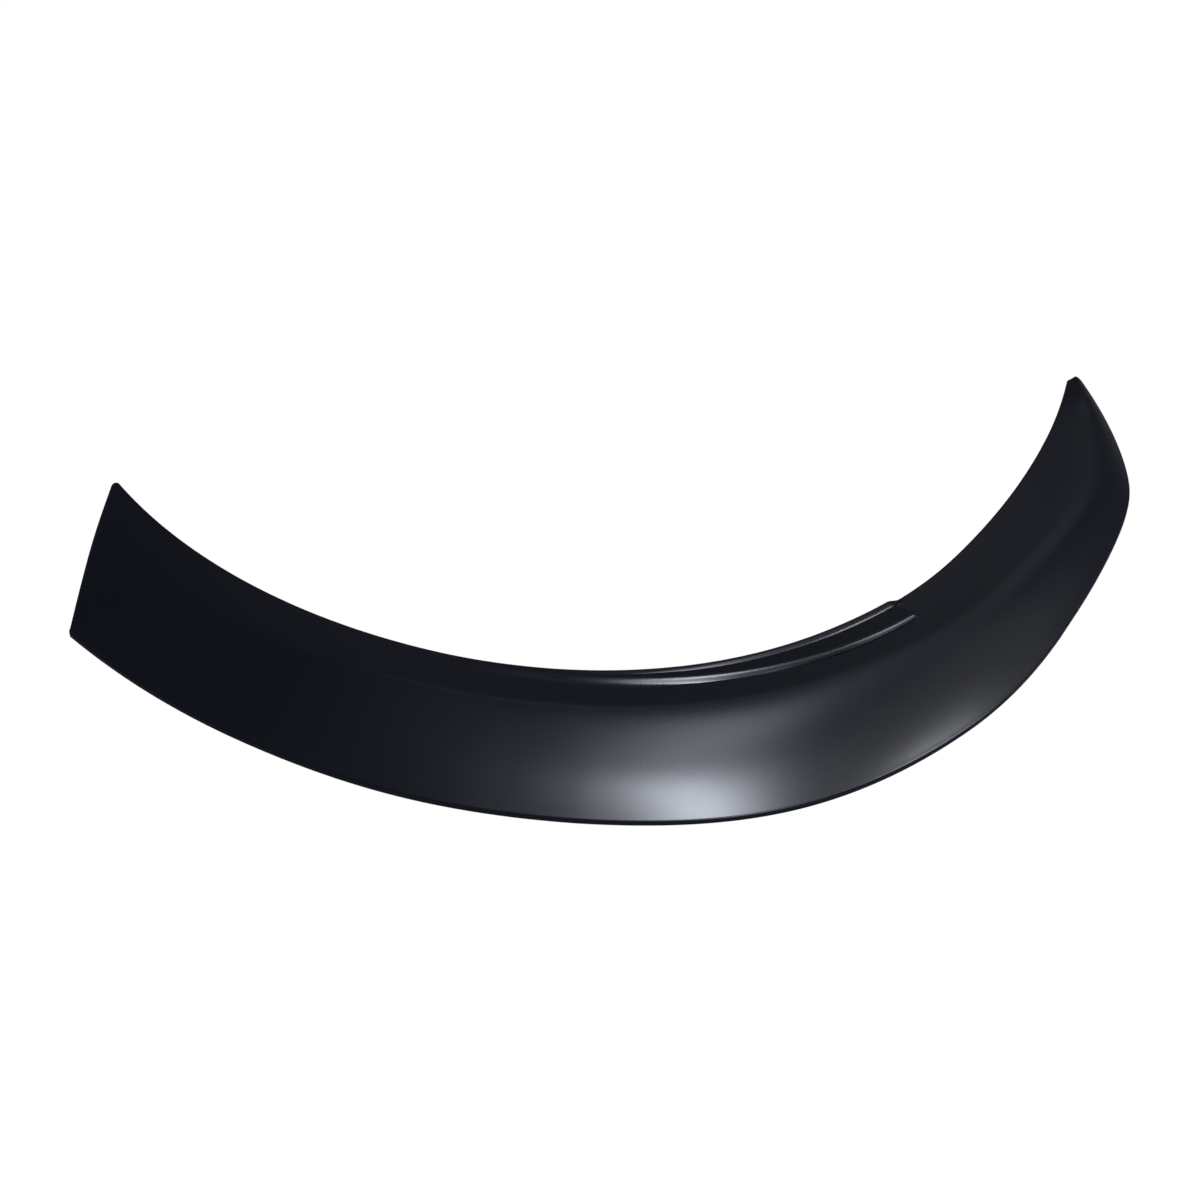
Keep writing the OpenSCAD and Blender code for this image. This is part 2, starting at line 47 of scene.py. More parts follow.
# The opening edge in plan: its first heading, and the radius and turn of its arcs
OPEN_HEADING = math.radians(-53.27)
OPEN_ARCS = [
    (448.3, math.radians(49)),
    (295, math.radians(55.05)),
    (595, math.radians(14.93)),
    (467, math.radians(8.85)),
]
OPEN_L = sum(radius * turn for radius, turn in OPEN_ARCS)

# Width of the band at fractions of the opening edge, and how it closes down to the tip
WIDTH_AT = [0.09, 0.22, 0.34, 0.44, 0.54, 0.655, 0.77, 0.88, 1]
WIDTHS = [96.8, 98.3, 102.2, 103.8, 107.8, 99.1, 84.8, 77.1, 73]
WIDTH_CROWN = max(WIDTHS)
TIP_W = 15.5
TIP_TAPER = 0.665
CORNER_BLEND = 14.8
# Share of the turn to the point where both sides of the round tip would meet
TIP_CLOSE = 0.94

# How the section lines swing from the slanted left cut to square, and on to the tip
CUT_LEAD = 73.1
CUT_IN_R = 2.7
CUT_OUT_R = 1.6
CUT_HEADING = math.radians(-96.3)
CUT_STEPS = 10
CUT_SWING = 350
TIP_LEAD = 5
TIP_SWING = 150

# Heights of the section
RIM_H = 3.2
RIM_R = 1.8
RIM_ARC = math.radians(60)
CREASE_H = (25.3, 34, 13)
EDGE_H = (25.3, 26.8, 8.4)
CUT_RISE = 0.3
TIP_FALL = 0.62
TIP_FALL_POWER = 1.5
BAND_STRAIGHT = 0.42
BAND_STRAIGHT_CUT = 0.93
BAND_STRAIGHT_TO = 0.45
INNER_STRAIGHT = 1.2
EDGE_R = 1.7
# Below these widths the rounded edges and the ledge shrink, the walls thin, and the crease and the
# opening edge come down towards the rim
SMALL_W = 40
SOLID_W = 14
CREASE_LOW_W = 36
EDGE_LOW_W = 30

# The crease: its distance from the opening edge, its rounding, and how it fades at both ends
CREASE_IN = 37.5
CREASE_CUT_GAIN = 0.06
CREASE_CUT_SPAN = 0.45
CREASE_TAIL_SHARE = 0.56
CREASE_TAIL_FROM = 0.5
CREASE_TAIL_TO = 0.857
CREASE_BLEND = 3
CREASE_FADE = (24, 9)
CREASE_SHARP = 0.3
FADE_CUT = 0.3
FADE_TIP = 0.65

# The ledge and the lip that rise out of the opening edge
STEP_START = 290
STEP_FULL = 590
STEP_END = 599
STEP_LEAN = 3.7
LEDGE_GROW = 350
LEDGE_START_W = 12
LEDGE_W = 22
LEDGE_H = 3.4
LEDGE_START_RUN = 10
LEDGE_RUN = 2.4
LEDGE_FALL = 0.8
LEDGE_ROUND = 2.4
LEDGE_RISE = 150
LIP_START = 365
LIP_START_W = 4.2
LIP_W = 5.2
LIP_ROUND = 3.2
LIP_H = 2.15
STEP_DROP = 4
LIP_DROP = 13

# Walls
WALL = 2.6
RIM_WALL = 2.4
CUT_WALL = 3.6
TIP_WALL = 5.2
END_DRAFT = 0.6
FLANGE_DRAFT = math.radians(3)

# Screw points on the wheel-side flange
SCREW_COUNT = 5
SCREW_SPAN = (75, 770)
SCREW_D = 5.5
SCREW_BOSS_D = 14
SCREW_BOSS_T = 5
SCREW_Z = 9
SCREW_REACH = 12

# Clip towers and ribs behind the band
CLIP_COUNT = 5
CLIP_SPAN = (90, 750)
CLIP_W = 22
CLIP_D = 18
CLIP_PLATE = 2.4
CLIP_WALL = 2
CLIP_Z = 4
CLIP_SLOT = 8
CLIP_IN = 34
RIB_COUNT = 2
RIB_WALL = 1.8
RIB_DEPTH = 9
RIB_FOOT = 1.2

# Fineness of the mesh
STATION_PITCH = 2
STEP_PITCH = 0.6
STEP_MARGIN = 2
TIP_STEPS = 14
RIM_STEPS = 8
BAND_ROWS = 30
CREASE_ROWS = 12
INNER_ROWS = 10
SLOPE_ROWS = 10
LEDGE_ROWS = 6
LIP_ROWS = 14
ROLL_STEPS = 10
FLANGE_ROWS = 6
UNDER_ROWS = (6, 8, 16)
CLIP_STEPS = 6
SLOT_STEPS = 24
RIB_STEPS = 60
ROUND_SIDES = 64
LOCATE_STEPS = 5
# Short lengths over which slopes and headings are measured
UNDER_SPAN = 1
EDGE_SPAN = 0.1
HEADING_SPAN = 0.01
# Edges with a sharper turn than this aren't shaded smooth
SHARP_FROM = math.radians(32)


# Plan of the opening edge and of the band

def clamp01(x):
    return min(1.0, max(0.0, x))


def ease(x):
    u = clamp01(x)
    return u * u * (3 - 2 * u)


def mix(a, b, u):
    return a + (b - a) * u


def soft_min(a, b, e):
    """The lower of two values, with a rounded change from one to the other."""
    return (a + b - math.hypot(a - b, e)) / 2


def along(start, radius, s):
    """Point and heading after a length along an arc."""
    x, y, h = start
    a = s / radius
    x += radius * (math.sin(h + a) - math.sin(h))
    y += radius * (math.cos(h) - math.cos(h + a))
    return (x, y, h + a)


def open_at(s):
    """Point and heading on the opening edge at a length from the left cut."""
    at = (0.0, 0.0, OPEN_HEADING)
    for radius, turn in OPEN_ARCS[:-1]:
        length = radius * turn
        if s <= length:
            return along(at, radius, s)
        at = along(at, radius, length)
        s -= length
    return along(at, OPEN_ARCS[-1][0], s)


def width_slope(k):
    """Slope of the band's width at one of the named widths."""
    if k in (0, len(WIDTHS) - 1):
        return 0.0
    a = (WIDTHS[k] - WIDTHS[k - 1]) / (WIDTH_AT[k] - WIDTH_AT[k - 1])
    b = (WIDTHS[k + 1] - WIDTHS[k]) / (WIDTH_AT[k + 1] - WIDTH_AT[k])
    return 0.0 if a * b <= 0 else 2 * a * b / (a + b)


SLOPES = [width_slope(k) for k in range(len(WIDTHS))]


def width_at(s):
    """Width square to the opening edge, closed down to the tip behind the outer corner."""
    t = s / OPEN_L
    if t <= WIDTH_AT[0]:
        band = WIDTHS[0]
    else:
        k = min(bisect.bisect_right(WIDTH_AT, t), len(WIDTHS) - 1) - 1
        h = WIDTH_AT[k + 1] - WIDTH_AT[k]
        u = clamp01((t - WIDTH_AT[k]) / h)
        band = mix(WIDTHS[k], WIDTHS[k + 1], ease(u))
        band += h * (u * (1 - u) ** 2 * SLOPES[k] - u * u * (1 - u) * SLOPES[k + 1])
    return soft_min(band, TIP_W + (OPEN_L - s) * TIP_TAPER, CORNER_BLEND)


def square_at(s, n):
    """Plan point at a length along the opening edge and a distance square to it."""
    x, y, h = open_at(s)
    return (x + n * math.sin(h), y - n * math.cos(h))


def outer_at(s):
    """Plan point on the outer edge, square to the opening edge at a length."""
    return square_at(s, width_at(s))


def swing(s):
    """How far ahead of its start a section line ends, measured along the opening edge."""
    lead = CUT_LEAD * clamp01(1 - s / CUT_SWING) ** 2
    return lead + TIP_LEAD * clamp01((s - OPEN_L + TIP_SWING) / TIP_SWING) ** 2


def section_ends(s):
    """Both ends of a section line: on the opening edge and on the outer edge."""
    return open_at(s)[:2], outer_at(s + swing(s))


def outer_heading(s):
    (ax, ay), (bx, by) = outer_at(s - HEADING_SPAN), outer_at(s + HEADING_SPAN)
    return math.atan2(by - ay, bx - ax)


# Heights of the skin

def rise_at(s, heights):
    """Height along the trim, from its heights at the cut, in the middle and at the tip."""
    cut, full, tip = heights
    t = s / OPEN_L
    fall = clamp01((t - TIP_FALL) / (1 - TIP_FALL)) ** TIP_FALL_POWER
    return mix(cut, full, ease(t / CUT_RISE)) + (tip - full) * fall


def crease_d(s, w):
    """Distance of the crease from the opening edge."""
    t = s / OPEN_L
    share = CREASE_IN / WIDTH_CROWN
    left = clamp01(1 - t / CREASE_CUT_SPAN)
    right = ease((t - CREASE_TAIL_FROM) / (CREASE_TAIL_TO - CREASE_TAIL_FROM))
    return w * (share + CREASE_CUT_GAIN * left * left + (CREASE_TAIL_SHARE - share) * right)


def crease_soft(s):
    """Rounding of the crease, which fades at both ends."""
    t = s / OPEN_L
    cut, tip = CREASE_FADE
    return CREASE_BLEND + max(cut * ease(1 - t / FADE_CUT), tip * ease((t - FADE_TIP) / (1 - FADE_TIP)))


def ledge_foot(s):
    """Distance of the ledge's foot from the opening edge."""
    return mix(LEDGE_START_W, LEDGE_W, ease((s - LEDGE_GROW) / (STEP_END - LEDGE_GROW)))


def ledge_run(s):
    """Width of the slope from the ledge's foot up to the ledge."""
    return mix(LEDGE_RUN, LEDGE_START_RUN, clamp01((STEP_END - s) / (STEP_END - STEP_START)) ** 2)


def lip_share(s):
    """How far the lip has grown."""
    return math.sin(math.pi / 2 * clamp01((s - LIP_START) / (STEP_FULL - LIP_START)))


def lip_foot(s):
    return mix(LIP_START_W, LIP_W, lip_share(s))


def step_z(s, d, small):
    """Height of the ledge and the lip above the band."""
    foot = ledge_foot(s) * small
    run = ledge_run(s) * small
    lip_d = lip_foot(s) * small
    up = ease((s - STEP_START) / LEDGE_RISE)
    ledge_drop = 1 - clamp01((s - STEP_END - STEP_LEAN * (d / foot - 0.5)) / STEP_DROP) ** LEDGE_ROUND
    lip_drop = 1 - ease((s - STEP_END + STEP_LEAN) / LIP_DROP)
    on_lip = 1 - clamp01(d / lip_d) ** LIP_ROUND
    flat = clamp01((foot - run - d) / max(foot - run - lip_d, LEDGE_RUN))
    # The slope up to the ledge starts as a soft wave and ends as a round shoulder over a sharp foot
    rise = clamp01((foot - d) / run)
    shoulder = ease((s - LEDGE_GROW) / (STEP_END - LEDGE_GROW))
    slope = mix(ease(rise), 1 - (1 - rise) ** LEDGE_ROUND, shoulder)
    ledge = LEDGE_H * up * slope - LEDGE_FALL * up * flat
    lip = LIP_H * lip_share(s) * on_lip * lip_drop
    return ledge * mix(ledge_drop, lip_drop, on_lip) + lip


def skin_z(s, d, w):
    """Height of the outer skin at a distance from the opening edge, without the rounded edges."""
    small = min(1.0, w / SMALL_W)
    foot = w - RIM_R * small * (1 - math.cos(RIM_ARC))
    rim_z = RIM_H + RIM_R * small * math.sin(RIM_ARC)
    c = crease_d(s, w)
    zc = mix(rim_z, rise_at(s, CREASE_H), 1 - (1 - clamp01(w / CREASE_LOW_W)) ** 2)
    ze = mix(rim_z, rise_at(s, EDGE_H), ease(w / EDGE_LOW_W))
    q = (foot - d) / (foot - c)
    p = (c - d) / c
    straight = mix(BAND_STRAIGHT_CUT, BAND_STRAIGHT, ease(s / OPEN_L / BAND_STRAIGHT_TO))
    band = rim_z + (zc - rim_z) * (straight * q + (1 - straight) * (1 - (1 - min(q, 1.0)) ** 2))
    inner = zc - (zc - ze) * (INNER_STRAIGHT * p + (1 - INNER_STRAIGHT) * max(p, 0.0) ** 2)
    return soft_min(band, inner, crease_soft(s) * small * CREASE_SHARP) + step_z(s, d, small)


def under_z(s, d, w):
    """Height of the skin's inner side, a wall's thickness in from the outer skin."""
    slope = (skin_z(s, d + UNDER_SPAN, w) - skin_z(s, d - UNDER_SPAN, w)) / (2 * UNDER_SPAN)
    return skin_z(s, d, w) - WALL * math.hypot(1, slope)


# Sections

def spread(a, b, n):
    """Even steps from a to b, without the last."""
    return [mix(a, b, k / n) for k in range(n)]


def outer_profile(s, w, in_skew):
    """The outer skin, from the foot of the rim to the foot of the wheel-side flange."""
    small = min(1.0, w / SMALL_W)
    rim_r = RIM_R * small
    rim_in = rim_r * (1 - math.cos(RIM_ARC))
    edge_r = EDGE_R * small
    edge_d = edge_r * in_skew
    c = crease_d(s, w)
    soft = crease_soft(s) * small
    foot = min(ledge_foot(s) * small, c - soft)
    lip_d = lip_foot(s) * small
    ledge_in = max(foot - ledge_run(s) * small, lip_d)
    lean = math.atan((skin_z(s, edge_d + EDGE_SPAN, w) - skin_z(s, edge_d, w)) / EDGE_SPAN)
    roll_start = edge_d * (1 - math.sin(lean))
    roll_z = skin_z(s, roll_start, w) - edge_r * math.cos(lean)

    rim = []
    for k in range(RIM_STEPS + 1):
        a = RIM_ARC * k / RIM_STEPS
        rim.append((w - rim_r * (1 - math.cos(a)), RIM_H + rim_r * math.sin(a)))
    inward = (
        spread(w - rim_in, c + soft, BAND_ROWS)[1:]
        + spread(c + soft, c - soft, CREASE_ROWS)
        + spread(c - soft, foot, INNER_ROWS)
        + spread(foot, ledge_in, SLOPE_ROWS)
        + spread(ledge_in, lip_d, LEDGE_ROWS)
        + spread(lip_d, max(roll_start, 0), LIP_ROWS)
    )
    roll = []
    for k in range(ROLL_STEPS + 1):
        a = mix(lean, math.pi / 2, k / ROLL_STEPS)
        roll.append((edge_d * (1 - math.sin(a)), roll_z + edge_r * math.cos(a)))
    flange_foot = -roll_z * math.tan(FLANGE_DRAFT)
    flange = spread(0, flange_foot, FLANGE_ROWS)[1:]
    return (
        [(w, 0.0), (w, RIM_H / 2)] + rim
        + [(d, skin_z(s, d, w)) for d in inward]
        + roll + [(d, roll_z + d / math.tan(FLANGE_DRAFT)) for d in flange]
        + [(flange_foot, 0.0)]
    )


def inner_profile(s, w, in_skew, out_skew):
    """The inner side, from the foot of the flange back to the foot of the rim."""
    narrow = min(1.0, w / SOLID_W)
    d_in = WALL * in_skew * narrow
    d_out = w - RIM_WALL * out_skew * narrow
    foot = ledge_foot(s) * min(1.0, w / SMALL_W)
    c = crease_d(s, w)
    drop_in = rise_at(s, EDGE_H) * math.tan(FLANGE_DRAFT)
    to_foot, to_crease, to_rim = UNDER_ROWS
    across = spread(d_in, foot, to_foot) + spread(foot, c, to_crease) + spread(c, d_out, to_rim) + [d_out]
    return [(d_in - drop_in, 0.0)] + [(d, under_z(s, d, w)) for d in across] + [(d_out, 0.0)]


def on_floor(profile):
    """In the end walls the inner side drops to the body plane."""
    last = len(profile) - 1
    return [(mix(profile[0][0], profile[last][0], k / last), 0.0) for k in range(last + 1)]


def ring(ends, s, in_skew, out_skew, solid):
    """Closed section on a section line, hollow below or solid down to the body plane."""
    (ax, ay), (bx, by) = ends
    w = math.hypot(bx - ax, by - ay)
    ux, uy = (bx - ax) / w, (by - ay) / w
    inside = inner_profile(s, w, in_skew, out_skew)
    profile = outer_profile(s, w, in_skew) + (on_floor(inside) if solid else inside)
    return [(ax + ux * d, ay + uy * d, z) for d, z in profile]


def skew(ends, heading):
    """A length measured square to an edge grows by this factor on a slanted section line."""
    (ax, ay), (bx, by) = ends
    w = math.hypot(bx - ax, by - ay)
    return w / abs((bx - ax) * math.sin(heading) - (by - ay) * math.cos(heading))


def main_ring(s, solid=False):
    ends = section_ends(s)
    return ring(ends, s, skew(ends, open_at(s)[2]), skew(ends, outer_heading(s + swing(s))), solid)


TIP_IN = open_at(OPEN_L)
TIP_OUT = outer_at(OPEN_L + TIP_LEAD)
TIP_OUT_HEADING = outer_heading(OPEN_L + TIP_LEAD)
TIP_TURN = (math.pi - TIP_OUT_HEADING + TIP_IN[2]) / 2
TIP_R = math.dist(TIP_IN[:2], TIP_OUT) / 2 / math.sin(TIP_TURN)


def tip_ring(u):
    """Section in the round tip, where u runs from 0 to 1."""
    length = TIP_R * TIP_TURN * TIP_CLOSE * u
    inner = along(TIP_IN, -TIP_R, length)
    outer = along((*TIP_OUT, TIP_OUT_HEADING), TIP_R, length)
    return ring((inner[:2], outer[:2]), OPEN_L, 1, 1, True)


CUT_IN = open_at(0)
CUT_OUT = outer_at(swing(0))
CUT_OUT_HEADING = outer_heading(swing(0))


def cut_ring(u):
    """Section in the rounded corners of the left cut, where u runs from 0 to 1."""
    back_in = CUT_IN[2] + math.pi
    back_out = CUT_OUT_HEADING + math.pi
    turn_in = CUT_HEADING + 2 * math.pi - back_in
    turn_out = CUT_HEADING + math.pi - back_out
    inner = along((CUT_IN[0], CUT_IN[1], back_in), CUT_IN_R, CUT_IN_R * u * turn_in)
    outer = along((*CUT_OUT, back_out), -CUT_OUT_R, -CUT_OUT_R * u * turn_out)
    return ring((inner[:2], outer[:2]), 0, 1, 1, True)


def stations():
    """Lengths of the hollow sections, closer together at the step's end."""
    drop_from = STEP_END - STEP_LEAN - STEP_MARGIN
    drop_to = STEP_END + LIP_DROP
    last = OPEN_L - TIP_WALL
    stretches = (
        (CUT_WALL + END_DRAFT, drop_from, STATION_PITCH),
        (drop_from, drop_to, STEP_PITCH),
        (drop_to, last, STATION_PITCH),
    )
    rows = []
    for a, b, pitch in stretches:
        rows += spread(a, b, math.ceil((b - a) / pitch))
    return rows + [last]


RINGS = (
    [cut_ring(1 - k / CUT_STEPS) for k in range(CUT_STEPS)]
    + [main_ring(0, True), main_ring(CUT_WALL, True)]
    + [main_ring(s) for s in stations()]
    + [main_ring(OPEN_L - TIP_WALL + END_DRAFT, True), main_ring(OPEN_L, True)]
    + [tip_ring((k + 1) / TIP_STEPS) for k in range(TIP_STEPS)]
)


# The frame's origin in the plan of the trim, as its CAD source works it out
CENTRE = (346.691, -74.781, 0.0)


# Points behind the band

def locate(x, y, s, d):
    """Section line, and distance on it, of a plan point, found in a few steps from a first guess."""
    for _ in range(LOCATE_STEPS):
        (ax, ay), (bx, by) = section_ends(s)
        w = math.hypot(bx - ax, by - ay)
        ux, uy = (bx - ax) / w, (by - ay) / w
        h = open_at(s)[2]
        ahead_x, ahead_y = math.cos(h), math.sin(h)
        off_x, off_y = x - ax - ux * d, y - ay - uy * d
        turn = ahead_x * uy - ahead_y * ux
        s += (off_x * uy - off_y * ux) / turn / (1 + d / OPEN_ARCS[0][0])
        d += (ahead_x * off_y - ahead_y * off_x) / turn
    return s, d, math.dist(*section_ends(s))


def bury_z(x, y, s, n, part=0.5):
    """Height at a share of the skin's thickness below its face, over a plan point."""
    at = locate(x, y, s, n)
    return mix(skin_z(*at), under_z(*at), part)


def shared_out(span, count):
    """Even places from one end of a span to the other."""
    return [mix(*span, k / (count - 1)) for k in range(count)]


SCREWS = shared_out(SCREW_SPAN, SCREW_COUNT)
CLIPS = shared_out(CLIP_SPAN, CLIP_COUNT)
RIBS = [mix(a, b, j / (RIB_COUNT + 1)) for a, b in zip(CLIPS, CLIPS[1:]) for j in range(1, RIB_COUNT + 1)]


# Meshes

def to_frame(p):
    """A point in the trim's millimetres as a point in the frame's metres."""
    return tuple((v - c) * MM for v, c in zip(p, CENTRE))


def piece_of(name, points, faces):
    mesh = bpy.data.meshes.new(name)
    mesh.from_pydata([to_frame(p) for p in points], [], faces)
    piece = bpy.data.objects.new(name, mesh)
    bpy.context.scene.collection.objects.link(piece)
    return piece


def loft(name, rings):
    """Closed piece through a row of closed sections."""
    n = len(rings[0])
    faces = [tuple(range(n - 1, -1, -1))]
    for i in range(len(rings) - 1):
        for j in range(n):
            a, b = i * n + j, i * n + (j + 1) % n
            faces.append((a, b, b + n, a + n))
    faces.append(tuple(range((len(rings) - 1) * n, len(rings) * n)))
    return piece_of(name, [p for r in rings for p in r], faces)


def combine(piece, others, operation):
    """Joins other closed pieces to a closed piece, or cuts them out of it, and removes them."""
    for other in others:
        change = piece.modifiers.new(operation, "BOOLEAN")
        change.object = other
        change.operation = operation
        change.solver = "MANIFOLD"
    old = piece.data
    shape = piece.evaluated_get(bpy.context.evaluated_depsgraph_get())
    piece.data = bpy.data.meshes.new_from_object(shape)
    piece.data.name = piece.name
    piece.modifiers.clear()
    bpy.data.meshes.remove(old)
    for other in others:
        mesh = other.data
        bpy.data.objects.remove(other)
        bpy.data.meshes.remove(mesh)


def web(name, a, b, s, n_a, n_b, thick, feet):
    """Upright wall between two plan points, grown into the skin above it."""
    length = math.dist(a, b)
    side_x, side_y = (b[1] - a[1]) / length * thick / 2, (a[0] - b[0]) / length * thick / 2
    rings = []
    for k, foot in enumerate(feet):
        u = k / (len(feet) - 1)
        x, y, n = mix(a[0], b[0], u), mix(a[1], b[1], u), mix(n_a, n_b, u)
        right, left = (x + side_x, y + side_y), (x - side_x, y - side_y)
        rings.append([
            (*right, foot), (*right, bury_z(*right, s, n)), (*left, bury_z(*left, s, n)), (*left, foot),
        ])
    return loft(name, rings)


def round_bar(name, s, start, end, d):
    """Cylinder through the wheel-side flange, where start and end are depths from the opening edge."""
    x, y, h = open_at(s)
    in_x, in_y = math.sin(h), -math.cos(h)
    rings = []
    for depth in (start, end):
        ring_points = []
        for k in range(ROUND_SIDES):
            a = 2 * math.pi * k / ROUND_SIDES
            across = d / 2 * math.cos(a)
            ring_points.append((
                x + in_x * depth + math.cos(h) * across,
                y + in_y * depth + math.sin(h) * across,
                SCREW_Z + d / 2 * math.sin(a),
            ))
        rings.append(ring_points)
    return loft(name, rings)


def screw_boss(s):
    """Boss on the inner side of the wheel-side flange."""
    face = (rise_at(s, EDGE_H) - SCREW_Z) * math.tan(FLANGE_DRAFT)
    return round_bar("boss", s, WALL / 2 - face, SCREW_BOSS_T - face, SCREW_BOSS_D)


def clip_tower(s):
    """Box under the band, open to the rim, whose plate holds a snap-in clip in a slot."""
    n = width_at(s) - CLIP_IN
    x, y = square_at(s, n)
    h = open_at(s)[2]

    def at(ahead, out):
        return (x + math.cos(h) * ahead + math.sin(h) * out, y + math.sin(h) * ahead - math.cos(h) * out)

    half_w = (CLIP_W - CLIP_WALL) / 2
    half_d = (CLIP_D - CLIP_WALL) / 2
    n_near, n_far = n - CLIP_D / 2, n + CLIP_D / 2
    feet = [CLIP_Z] * (CLIP_STEPS + 1)
    walls = []
    for side in (-1, 1):
        near, far = at(side * half_w, -CLIP_D / 2), at(side * half_w, CLIP_D / 2)
        walls.append(web("side", near, far, s, n_near, n_far, CLIP_WALL, feet))
    back = (at(-CLIP_W / 2, -half_d), at(CLIP_W / 2, -half_d))
    walls.append(web("back", *back, s, n - half_d, n - half_d, CLIP_WALL, feet))
    slot = CLIP_SLOT / 2
    edge = [(-CLIP_W / 2, -CLIP_D / 2), (-CLIP_W / 2, CLIP_D / 2), (-slot, CLIP_D / 2)]
    for k in range(SLOT_STEPS + 1):
        a = math.pi * k / SLOT_STEPS
        edge.append((-slot * math.cos(a), -slot * math.sin(a)))
    edge += [(slot, CLIP_D / 2), (CLIP_W / 2, CLIP_D / 2), (CLIP_W / 2, -CLIP_D / 2)]
    plate = loft("plate", [[(*at(*p), z) for p in edge] for z in (CLIP_Z, CLIP_Z + CLIP_PLATE)])
    return walls + [plate]


def rib(s):
    """Thin rib across the back of the band, from the flange to the rim."""
    n_a, n_b = WALL / 2, width_at(s) - RIM_WALL / 2
    a, b = square_at(s, n_a), square_at(s, n_b)
    feet = []
    for k in range(RIB_STEPS + 1):
        u = k / RIB_STEPS
        under = bury_z(mix(a[0], b[0], u), mix(a[1], b[1], u), s, mix(n_a, n_b, u), 1)
        feet.append(max(RIB_FOOT, under - RIB_DEPTH))
    return web("rib", a, b, s, n_a, n_b, RIB_WALL, feet)


def outward(piece):
    """Turns a closed piece's faces so that they look outward."""
    faces = bmesh.new()
    faces.from_mesh(piece.data)
    bmesh.ops.recalc_face_normals(faces, faces=faces.faces)
    faces.to_mesh(piece.data)
    faces.free()
    return piece


trim = outward(loft("trim", RINGS))
added = [screw_boss(s) for s in SCREWS]
for place in CLIPS:
    added += clip_tower(place)
added += [rib(s) for s in RIBS]
combine(trim, [outward(part) for part in added], "UNION")
holes = [round_bar("hole", s, -SCREW_REACH, SCREW_REACH, SCREW_D) for s in SCREWS]
combine(trim, [outward(hole) for hole in holes], "DIFFERENCE")
trim.data.shade_smooth()
trim.data.set_sharp_from_angle(angle=SHARP_FROM)
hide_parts("arch_trim")
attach(trim, "root")


# Material: moulded black plastic with a soft sheen

PLASTIC_COLOUR = (0.0018, 0.0025, 0.0051, 1)
PLASTIC_IOR = 1.5
ROUGHNESS = 0.27
ROUGHNESS_CHANGE = 0.03
PATCH_SCALE = 14
PATCH_DETAIL = 4
GRAIN_SCALE = 900
GRAIN_DETAIL = 2
GRAIN_STRENGTH = 0.05
GRAIN_DEPTH = 0.1 * MM


def black_plastic():
    material = bpy.data.materials.new("black_plastic")
    material.use_nodes = True
    nodes, links = material.node_tree.nodes, material.node_tree.links
    shader = nodes["Principled BSDF"]
    shader.inputs["Base Color"].default_value = PLASTIC_COLOUR
    shader.inputs["IOR"].default_value = PLASTIC_IOR

    place = nodes.new("ShaderNodeTexCoord")
    # Sheen that changes a little from patch to patch
    patches = nodes.new("ShaderNodeTexNoise")
    patches.inputs["Scale"].default_value = PATCH_SCALE
    patches.inputs["Detail"].default_value = PATCH_DETAIL
    links.new(place.outputs["Object"], patches.inputs["Vector"])
    sheen = nodes.new("ShaderNodeMapRange")
    sheen.inputs["To Min"].default_value = ROUGHNESS - ROUGHNESS_CHANGE
    sheen.inputs["To Max"].default_value = ROUGHNESS + ROUGHNESS_CHANGE
    links.new(patches.outputs["Fac"], sheen.inputs["Value"])
    links.new(sheen.outputs["Result"], shader.inputs["Roughness"])
    # Fine grain of the mould
    grain = nodes.new("ShaderNodeTexNoise")
    grain.inputs["Scale"].default_value = GRAIN_SCALE
    grain.inputs["Detail"].default_value = GRAIN_DETAIL
    links.new(place.outputs["Object"], grain.inputs["Vector"])
    bump = nodes.new("ShaderNodeBump")
    bump.inputs["Strength"].default_value = GRAIN_STRENGTH
    bump.inputs["Distance"].default_value = GRAIN_DEPTH
    links.new(grain.outputs["Fac"], bump.inputs["Height"])
    links.new(bump.outputs["Normal"], shader.inputs["Normal"])
    return material


trim.data.materials.clear()
trim.data.materials.append(black_plastic())


# Floor: white to the camera, and dark grey to everything else

WHITE = (1, 1, 1, 1)
FLOOR_GREY = (0.1, 0.1, 0.1, 1)
FLOOR_HALF = 3.0
FLOOR_Z = -0.4 * MM


def floor_material():
    material = bpy.data.materials.new("floor_white")
    material.use_nodes = True
    nodes, links = material.node_tree.nodes, material.node_tree.links
    nodes.clear()
    out = nodes.new("ShaderNodeOutputMaterial")
    seen = nodes.new("ShaderNodeLightPath")
    white = nodes.new("ShaderNodeEmission")
    white.inputs["Color"].default_value = WHITE
    plain = nodes.new("ShaderNodeBsdfDiffuse")
    plain.inputs["Color"].default_value = FLOOR_GREY
    pick = nodes.new("ShaderNodeMixShader")
    links.new(seen.outputs["Is Camera Ray"], pick.inputs["Fac"])
    links.new(plain.outputs["BSDF"], pick.inputs[1])
    links.new(white.outputs["Emission"], pick.inputs[2])
    links.new(pick.outputs["Shader"], out.inputs["Surface"])
    return material


floor_mesh = bpy.data.meshes.new("floor")
floor_corners = [(x * FLOOR_HALF, y * FLOOR_HALF, FLOOR_Z) for x, y in ((-1, -1), (1, -1), (1, 1), (-1, 1))]
floor_mesh.from_pydata(floor_corners, [], [(0, 1, 2, 3)])
floor = bpy.data.objects.new("floor", floor_mesh)
bpy.context.scene.collection.objects.link(floor)
floor_mesh.materials.append(floor_material())


# Camera: looks down along +Y at the wheel side, with its distance in metres and its height in degrees

TARGET = Vector((-0.010785, -0.015349, 0))
CAMERA_AWAY = 1.6
CAMERA_UP = 46.5
CAMERA_LENS = 70.6
CAMERA_SENSOR = 36


def towards(azimuth, elevation):
    """Direction from the trim, where azimuth 0 is the camera's side and turns to the right."""
    a, e = math.radians(azimuth), math.radians(elevation)
    return Vector((math.sin(a) * math.cos(e), -math.cos(a) * math.cos(e), math.sin(e)))


